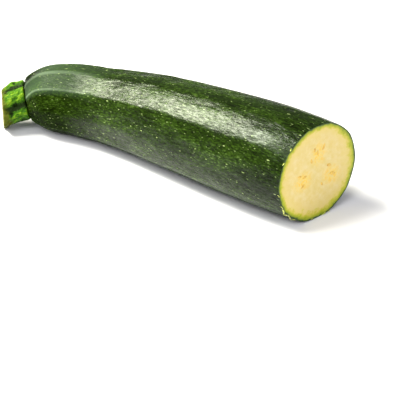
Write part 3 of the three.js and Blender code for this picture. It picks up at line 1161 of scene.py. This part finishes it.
@dataclass
class Seeds:
    """Unripe seeds cut through by the knife, in three groups, sunk in the cut face but for their tops.

    Each place is a distance across and a distance up from the face's middle, and a heading in degrees.
    """

    growth: Growth
    finish: UnripeSeed = field(default_factory=UnripeSeed)
    length: float = 3.5
    width: float = 1.9
    thickness: float = 0.6
    proud: float = 0.17
    heading_stray: float = 12
    sizes: Span = (0.75, 1.1)
    places: tuple[tuple[float, float, float], ...] = (
        (-2.2, 12.6, 95),
        (-0.4, 10.6, 80),
        (-4.2, 7.4, 112),
        (3.6, 12.4, 60),
        (-8.4, 0.6, 185),
        (-9.7, -3.8, 215),
        (-11.6, 2.0, 172),
        (7.2, 1.6, 345),
        (9.4, -3.6, 335),
        (2.7, -6.8, 292),
    )

    def one(self) -> bpy.types.Object:
        """Models one seed: a flattened drop with a drawn-out tip.

        Returns:
            The seed at the origin, its length along X.
        """
        clear_selection()
        bpy.ops.mesh.primitive_uv_sphere_add(
            segments=12, ring_count=8, radius=0.5 * MM, rotation=(0, math.pi / 2, 0)
        )
        seed = bpy.context.object
        seed.name = seed.data.name = "seed"
        bpy.ops.object.transform_apply(location=True, rotation=True, scale=True)
        bpy.ops.object.mode_set(mode="EDIT")
        bpy.ops.mesh.select_all(action="SELECT")
        bpy.ops.transform.resize(value=(self.length, self.width, self.thickness))
        pick(lambda co: co.x > 0.25 * self.length * MM)
        bpy.ops.transform.resize(value=(1, 0.7, 0.8), center_override=(0, 0, 0))
        pick(lambda co: co.x > 0.45 * self.length * MM)
        bpy.ops.transform.translate(value=(0.25 * MM, 0, 0))
        bpy.ops.object.mode_set(mode="OBJECT")
        subdivide(seed, Refine.SMALL)
        return seed

    def build(self) -> bpy.types.Object:
        """Copies the seed to its places, each at its own size and heading, and dresses the copies.

        Returns:
            The finished piece.
        """
        normal = Vector(self.growth.knife_normal())
        up = (Vector((0, 0, 1)) - normal * normal.z).normalized()
        side = up.cross(normal)
        middle = Vector(self.growth.centre(np.array([self.growth.fruit_length]))[0])
        sunk = self.thickness / 2 - self.proud
        draw = random.Random(4)
        spots = []
        for across, rise_by, heading in self.places:
            aim = math.radians(heading + draw.uniform(-self.heading_stray, self.heading_stray))
            length_way = side * math.cos(aim) + up * math.sin(aim)
            turn = Matrix((length_way, normal.cross(length_way), normal)).transposed().to_4x4()
            place = middle + side * across + up * rise_by - normal * sunk
            spots.append(Matrix.Translation(place * MM) @ turn @ Matrix.Scale(draw.uniform(*self.sizes), 4))
        piece = scatter(self.one(), spots, "seeds")
        piece.data.materials.append(self.finish.make())
        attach(piece, BODY)
        return piece


@dataclass(frozen=True)
class TornPeel:
    """Shreds that the knife tore from the rind: wet yellow-green inside, with scraps of the dark skin."""

    tones: tuple[tuple[float, str], ...] = ((0.36, "2e430c"), (0.48, "a3ae2c"), (0.66, "d2cf8e"))
    blotches_per_mm: float = 1.2
    roughness: float = 0.35
    ior: float = 1.38

    def make(self) -> bpy.types.Material:
        """Builds the material, which reads Object coordinates.

        Returns:
            The material.
        """
        material, tree, output = new_material("torn courgette peel")
        place = add_node(tree, "TexCoord").outputs["Object"]
        rate = self.blotches_per_mm / MM
        blotch = add_node(tree, "TexNoise", {"Vector": place, "Scale": rate, "Detail": 2})
        coat = add_node(tree, "ValToRGB", {"Fac": blotch.outputs["Fac"]})
        set_stops(coat.color_ramp, self.tones)
        shader = add_node(
            tree,
            "BsdfPrincipled",
            {"Base Color": coat.outputs["Color"], "Roughness": self.roughness, "IOR": self.ior},
        )
        tree.links.new(shader.outputs[0], output.inputs["Surface"])
        return material


@dataclass
class PeelShreds:
    """Shreds of peel along the lower edge of the cut, each held at one end and standing off at the other.

    Each place is an angle round the cut face, from +Y towards up, a size and a tilt. Angles are in degrees,
    and a shred with a negative tilt points the other way along the edge.
    """

    growth: Growth
    finish: TornPeel = field(default_factory=TornPeel)
    length: float = 2.8
    width: float = 1.0
    thickness: float = 0.35
    tapers: tuple[tuple[float, float, float], ...] = ((0.1, 0.8, 0.05), (0.2, 0.75, 0.15), (0.4, 0.6, 0.3))
    behind_face: float = 0.1
    middles_over_table: float = 0.6
    edges_over_table: float = 0.02
    places: tuple[tuple[float, float, float], ...] = (
        (133, 0.5, 8),
        (150, 0.5, -10),
        (187, 0.6, 12),
        (203, 0.8, 8),
        (210, 1.0, -6),
        (217, 1.1, 10),
        (224, 0.9, -12),
        (231, 0.8, 9),
        (262, 0.7, -6),
        (279, 0.9, 8),
        (288, 0.6, -10),
    )

    def one(self) -> bpy.types.Object:
        """Models one shred: a thin strip, tapered and curled towards its free end.

        Returns:
            The shred at the origin, its length along X and its free end at +X.
        """
        clear_selection()
        bpy.ops.mesh.primitive_cube_add(size=MM)
        shred = bpy.context.object
        shred.name = shred.data.name = "shred"
        bpy.ops.object.mode_set(mode="EDIT")
        bpy.ops.mesh.select_all(action="SELECT")
        bpy.ops.transform.resize(value=(self.length, self.width, self.thickness))
        bpy.ops.mesh.subdivide(number_cuts=3)
        for share, taper, lift in self.tapers:
            pick(lambda co, edge=share * self.length * MM: co.x > edge)
            bpy.ops.transform.resize(value=(1, taper, 0.9), center_override=(0, 0, 0))
            bpy.ops.transform.translate(value=(0, 0, lift * MM))
        bpy.ops.object.mode_set(mode="OBJECT")
        subdivide(shred, Refine.SMALL)
        return shred

    def stand(self, heading: float) -> tuple[Vector, Matrix]:
        """Finds where a shred is held on the edge of the cut.

        Args:
            heading: Angle round the cut face, from +Y towards up, in degrees.

        Returns:
            The place in millimetres, and axes: along the edge, out of the cut face, away from its middle.
        """
        growth = self.growth
        angle = math.pi - math.radians(heading) - growth.first_rib + np.array([-0.02, 0.0, 0.02])
        along = np.full(3, growth.fruit_length - self.behind_face)
        edge = growth.radius(along) * growth.dip(angle, growth.faceting(along))
        points = growth.place(np.stack([along, -edge * np.cos(angle), edge * np.sin(angle)], axis=-1))
        normal = Vector(growth.knife_normal())
        tangent = Vector(points[2] - points[0]).normalized()
        outward = tangent.cross(normal).normalized()
        if outward.dot(Vector(points[1]) - Vector(growth.centre(along)[1])) < 0:
            outward.negate()
        return Vector(points[1]), Matrix((tangent, outward.cross(tangent), outward)).transposed()

    def build(self) -> bpy.types.Object:
        """Copies the shred to its places, keeps the copies off the table and dresses them.

        Returns:
            The finished piece.
        """
        spots = []
        for heading, size, tilt in self.places:
            place, axes = self.stand(heading)
            place.z = max(place.z, self.middles_over_table)
            way = Matrix.Rotation(math.pi if tilt < 0 else 0.0, 4, "Z")
            off_edge = Matrix.Rotation(math.radians(-abs(tilt)), 4, "Y")
            turned = axes.to_4x4() @ way @ off_edge
            spots.append(Matrix.Translation(place * MM) @ turned @ Matrix.Scale(size, 4))
        piece = scatter(self.one(), spots, "peel_shreds")
        points = read_points(piece)
        points[:, 2] = np.maximum(points[:, 2], self.edges_over_table)
        write_points(piece, points)
        piece.data.materials.append(self.finish.make())
        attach(piece, BODY)
        return piece


@dataclass
class Stem:
    """The stub of stem: ridged and grooved, flared towards its cut end."""

    growth: Growth
    finish: FibrousStem = field(default_factory=FibrousStem)
    ridges: int = 5
    sides: int = 40
    radius: float = 11.2
    groove: float = 0.19
    sharpness: float = 2.2
    sunk: float = 0.3
    ridge_angles: tuple[float, ...] = (51, 121, 194, 266, 337)
    end_steps: tuple[Span, ...] = ((0.5, -0.15), (0.9, -0.3), (1.6, -0.25), (2.4, -0.1), (2.4, 0.05))
    wide_lumps: float = 0.6
    small_lumps: float = 0.2
    pit_depth: float = 2.2
    foot_angle: float = math.radians(300)
    foot_height: float = 1.1
    corner_angle: float = math.radians(122)
    corner_swell: float = 1.2
    corner_wear: float = 1.5
    end_roughness: float = 0.3
    smooth_under: float = math.radians(60)

    def cage(self) -> bpy.types.Object:
        """Draws the straight stem out from the neck, presses its grooves in and sinks its cut end.

        Returns:
            The cage, straight, with its ridges evenly spaced.
        """
        length, repeat = self.growth.stem_length, self.sides // self.ridges
        profile = (
            (-self.sunk, 0.92),
            (0.25, 0.975),
            (0.1 * length, 1.0),
            (0.25 * length, 0.975),
            (0.42 * length, 0.955),
            (0.6 * length, 0.955),
            (0.76 * length, 0.97),
            (0.88 * length, 0.985),
            (length - 0.6, 0.985),
            (length - 0.12, 0.96),
            (length, 0.92),
        )
        loft = Loft("stem_stub", self.sides, -profile[0][0], self.radius * profile[0][1])
        for along, share in profile[1:]:
            loft.ring_to(-along, self.radius * share)
        for along, share in profile:
            for place in range(1, repeat // 2 + 1):
                depth = self.groove * (0.5 - 0.5 * math.cos(2 * math.pi * place / repeat)) ** self.sharpness
                loft.scale_places(-along, repeat, {place, repeat - place}, 1 - depth)
        pick(lambda co: abs(co.x / MM + length) < SAME_PLACE)
        for thickness, sink in self.end_steps:
            bpy.ops.mesh.inset(thickness=thickness * MM, depth=sink * MM)
        return loft.done()

    def spread(self, angle: np.ndarray) -> np.ndarray:
        """Moves evenly spaced ridges to their real angles.

        Args:
            angle: Angles on the even stem, from the -Y side upwards.

        Returns:
            The same places' angles on the real stem.
        """
        even = np.arange(self.ridges + 1) * 2 * math.pi / self.ridges
        real = np.radians([*self.ridge_angles, self.ridge_angles[0] + 360])
        return np.interp(np.mod(angle, 2 * math.pi), even, real)

    def build(self) -> bpy.types.Object:
        """Builds the stem, roughens it, bends it and dresses it.

        Returns:
            The finished piece, which replaces the frame's stem.
        """
        piece = self.cage()
        subdivide(piece, Refine.LARGE)
        even = read_points(piece)
        radius, even_angle = polar(even)
        unrolled = self.spread(even_angle) - self.growth.first_rib
        angle = np.mod(unrolled + self.growth.first_rib, 2 * math.pi)
        straight = np.stack([even[:, 0], -radius * np.cos(unrolled), radius * np.sin(unrolled)], axis=-1)
        share = -even[:, 0] / self.growth.stem_length
        # Grooves, pits and the lower side are darkened in the colour below: painted shade.
        valley = (0.5 - 0.5 * np.cos(self.ridges * even_angle)) ** self.sharpness
        pits = np.clip(ripple(straight, (2.6, 2.0, 2.0), 4.7) - 0.12, 0, 1) * np.clip(share * 3, 0, 1)
        shaded = np.clip(0.45 - np.sin(angle), 0, 1)
        on_end = rise(share, 0.96, 0.99)
        # The drying cut end turns olive-brown. On the lower side the olive reaches further along, as painted
        # shade.
        dried = np.clip((share - 0.57 + 0.22 * shaded) / 0.4, 0, 1)
        store(piece, "grown", straight)
        # Painted shade in the grooves, the pits and on the lower side.
        store(piece, "tone_and_painted_shade", 0.72 - 0.9 * valley**2 - 0.9 * pits - 0.15 * shaded)
        store(piece, "cut", 0.9 * dried + 0.7 * on_end)
        lumps = self.wide_lumps * ripple(straight, (4.5, 3, 3), 2.2)
        lumps += self.small_lumps * ripple(straight, (3, 1, 1), 6.4) - self.pit_depth * pits
        lumps += self.foot_height * bell((angle - self.foot_angle) / 0.7) * rise(share, 0.5, 0.9)
        swollen = self.corner_swell * bell((share - 0.5) / 0.28)
        worn = self.corner_wear * rise(share, 0.6, 1) ** 1.5
        lumps += bell((angle - self.corner_angle) / 0.6) * (swollen - worn)
        lumps *= rise(share, 0, 0.25) * np.clip(radius / self.radius, 0, 1)
        rough = straight.copy()
        rough[:, 1:] *= (1 + lumps / np.maximum(radius, 1))[:, None]
        rough[:, 0] += self.end_roughness * on_end * ripple(straight, (3, 2.2, 2.2), 9.1)
        write_points(piece, self.growth.place(rough))
        piece.data.materials.append(self.finish.make())
        make_active(piece)
        bpy.ops.object.shade_smooth_by_angle(angle=self.smooth_under)
        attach(piece, BODY)
        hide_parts("stem")
        return piece


@dataclass
class Studio:
    """A pale floor, soft lights and the camera at the photograph's angle."""

    look_at: tuple[float, float, float] = (0.0270, -0.0207, 0.0)
    azimuth: float = math.radians(39)
    elevation: float = math.radians(31.9)
    distance: float = 0.576
    lens: float = 107.0
    floor_size: float = 6.0
    floor_tones: tuple[str, str] = ("dadadd", "d6d6da")
    sky: Colour = (0.97, 0.98, 1.0, 1)
    sky_strength: float = 0.22

    def toward(self, azimuth: float, elevation: float) -> Vector:
        """The direction to a place round the object, from the -Y side at 0 to the +X side at 90 degrees."""
        flat = math.cos(elevation)
        return Vector((math.sin(azimuth) * flat, -math.cos(azimuth) * flat, math.sin(elevation)))

    def camera(self) -> None:
        """Adds the camera and makes it the scene's own."""
        clear_selection()
        back = self.toward(self.azimuth, self.elevation)
        bpy.ops.object.camera_add(location=Vector(self.look_at) + back * self.distance)
        camera = bpy.context.object
        camera.rotation_euler = (-back).to_track_quat("-Z", "Y").to_euler()
        camera.data.lens = self.lens
        camera.data.sensor_width = 36
        camera.data.clip_start = 0.01
        bpy.context.scene.camera = camera

    def softbox(
        self, name: str, way: Vector, distance: float, size: Span, watts: float, tint: str
    ) -> None:
        """Adds one rectangular lamp that faces the object.

        Args:
            name: The lamp's name.
            way: The direction from the object to it.
            distance: How far away it stands, in metres.
            size: Its width and height, in metres.
            watts: Its power.
            tint: Its colour.
        """
        clear_selection()
        way = way.normalized()
        bpy.ops.object.light_add(type="AREA", location=Vector(self.look_at) + way * distance)
        lamp = bpy.context.object
        lamp.name = name
        lamp.rotation_euler = (-way).to_track_quat("-Z", "Y").to_euler()
        lamp.data.shape = "RECTANGLE"
        lamp.data.size, lamp.data.size_y = size
        lamp.data.energy = watts
        lamp.data.color = from_hex(tint)[:3]

    def floor(self) -> None:
        """Lays a smooth pale floor, with a faint mottle as painted board has."""
        clear_selection()
        bpy.ops.mesh.primitive_plane_add(size=self.floor_size, location=(0, 0, -0.1 * MM))
        floor = bpy.context.object
        floor.name = floor.data.name = "floor"
        material, tree, output = new_material("matt white board")
        place = add_node(tree, "TexCoord").outputs["Object"]
        mottle = add_node(tree, "TexNoise", {"Vector": place, "Scale": 3, "Detail": 2})
        light, dark = (from_hex(code) for code in self.floor_tones)
        blend = {"Factor": mottle.outputs["Fac"], "A": light, "B": dark}
        colour = add_node(tree, "Mix", blend, data_type="RGBA").outputs["Result"]
        matt = {"Base Color": colour, "Roughness": 0.9, "Specular IOR Level": 0.2}
        shader = add_node(tree, "BsdfPrincipled", matt)
        tree.links.new(shader.outputs[0], output.inputs["Surface"])
        floor.data.materials.append(material)

    def build(self) -> None:
        """Sets up the camera, the floor, the lights and the world."""
        self.camera()
        self.floor()
        self.softbox("key", Vector((-0.66, -0.16, 0.73)), 0.9, (0.28, 0.3), 12.0, "fffce8")
        self.softbox("second", Vector((-0.4, -0.35, 0.85)), 1.2, (0.4, 0.36), 25.0, "fffdf0")
        self.softbox("end", Vector((0.75, -0.3, 0.6)), 1.3, (0.6, 0.6), 7.2, "ffffff")
        self.softbox("front", Vector((0.1, -0.7, 0.7)), 1.4, (0.7, 0.5), 12.5, "ffffff")
        scene = bpy.context.scene
        world = bpy.data.worlds.new("studio")
        world.use_nodes = True
        background = world.node_tree.nodes["Background"]
        background.inputs["Color"].default_value = self.sky
        background.inputs["Strength"].default_value = self.sky_strength
        scene.world = world
        scene.view_settings.view_transform = "Standard"
        scene.view_settings.look = "None"
        scene.view_settings.exposure = 0.0


def main() -> None:
    """Builds the courgette and its studio in order, and reports each piece."""
    logging.basicConfig(level=logging.INFO, format="%(name)s: %(message)s")
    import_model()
    growth = Growth()
    for part in (Fruit(growth), Seeds(growth), PeelShreds(growth), Stem(growth)):
        piece = part.build()
        LOG.info("%s: %d faces", piece.name, len(piece.data.polygons))
    Studio().build()


if __name__ == "__main__":
    main()
